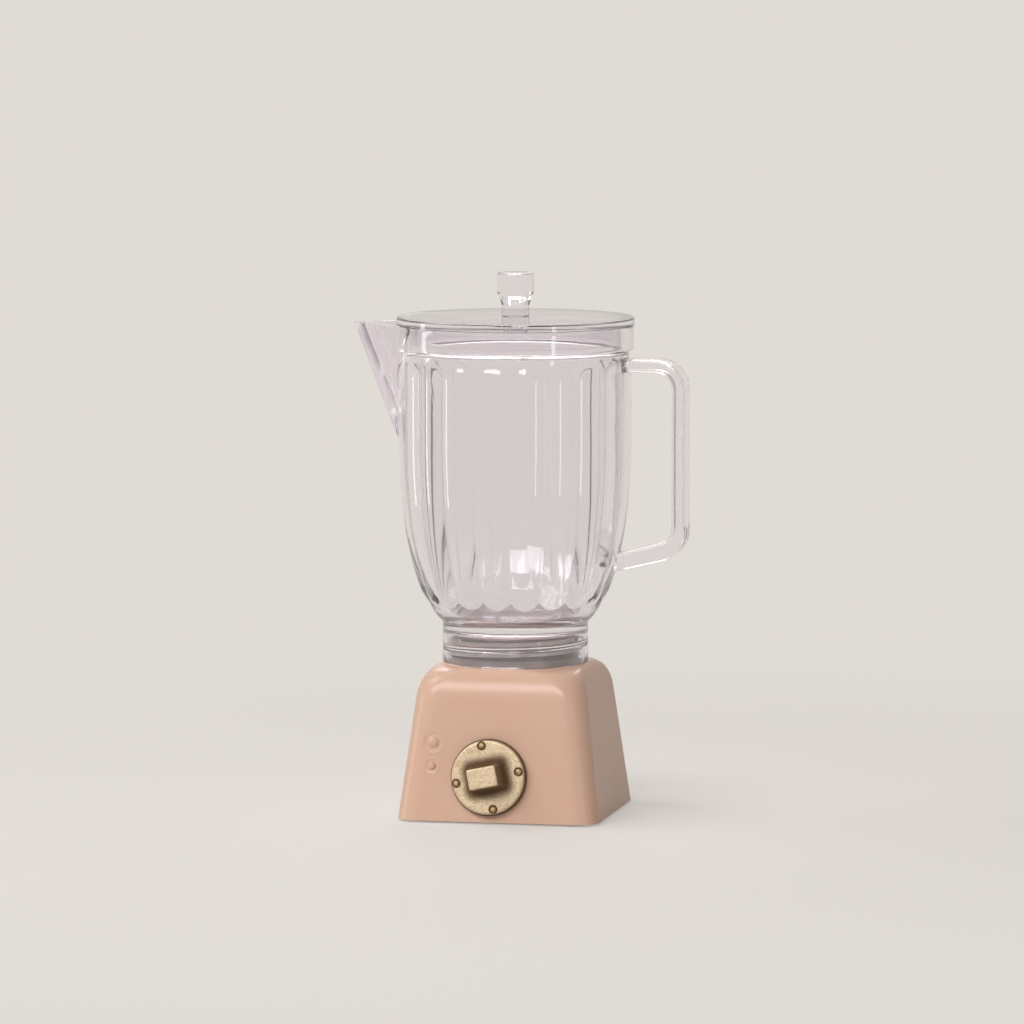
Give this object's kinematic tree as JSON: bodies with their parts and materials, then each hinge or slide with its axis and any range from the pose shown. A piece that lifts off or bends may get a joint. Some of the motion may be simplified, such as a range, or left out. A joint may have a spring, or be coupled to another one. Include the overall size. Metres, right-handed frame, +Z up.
{
  "type": "toy blender",
  "caption": "Doll-house blender: square leaning base with a riveted dial, clear fluted jar that unscrews from a threaded spigot, strap handle, spout and pull-off lid.",
  "frame": {"origin": "on the surface that it stands on, under the middle of the base", "axes": "+Z up through the jar and the knob, -Y out of the front with the dial, -X towards the spout, +X towards the handle"},
  "size_m": [0.0464, 0.0348, 0.0742],
  "materials": {
    "base_paint": "satin",
    "cover_plastic": "matte",
    "screw_steel": "satin",
    "silver_metal": "satin",
    "pale_gold": "satin",
    "clear_plastic": "gloss",
    "seal_rubber": "satin"
  },
  "bodies": {
    "base": {"base_housing": "base_paint", "bottom_cover": "cover_plastic", "bottom_screws": "screw_steel", "threaded_spigot": "silver_metal", "spigot_screws": "screw_steel"},
    "dial": {"dial_backplate": "pale_gold", "dial_plate": "pale_gold", "dial_rivets": "pale_gold", "dial_spindle": "screw_steel", "dial_washer": "screw_steel", "dial_screw": "screw_steel"},
    "seal": {"jar_seal": "seal_rubber"},
    "jar": {"jar_body": "clear_plastic", "jar_handle": "clear_plastic"},
    "lid": {"lid_disc": "clear_plastic", "lid_knob": "clear_plastic"}
  },
  "joints": [
    {"name": "dial_turn", "type": "hinge", "parent": "base", "child": "dial", "pos_m": [-0.0008, -0.01321, 0.0064], "axis": [0, -0.9925, 0.1219], "continuous": true},
    {"name": "jar_rise", "type": "slide", "parent": "base", "child": "seal", "axis": [0, 0, 1], "range_m": [0, 0.0028]},
    {"name": "jar_unscrew", "type": "hinge", "parent": "seal", "child": "jar", "pos_m": [0, 0, 0.0255], "axis": [0, 0, 1], "range_deg": [0, 720]},
    {"name": "lid_lift", "type": "slide", "parent": "jar", "child": "lid", "axis": [0, 0, 1], "range_m": [0, 0.012]}
  ],
  "couplings": [
    {"joint": "jar_rise", "follows": "jar_unscrew", "m_per_rad": 0.00022282}
  ]
}
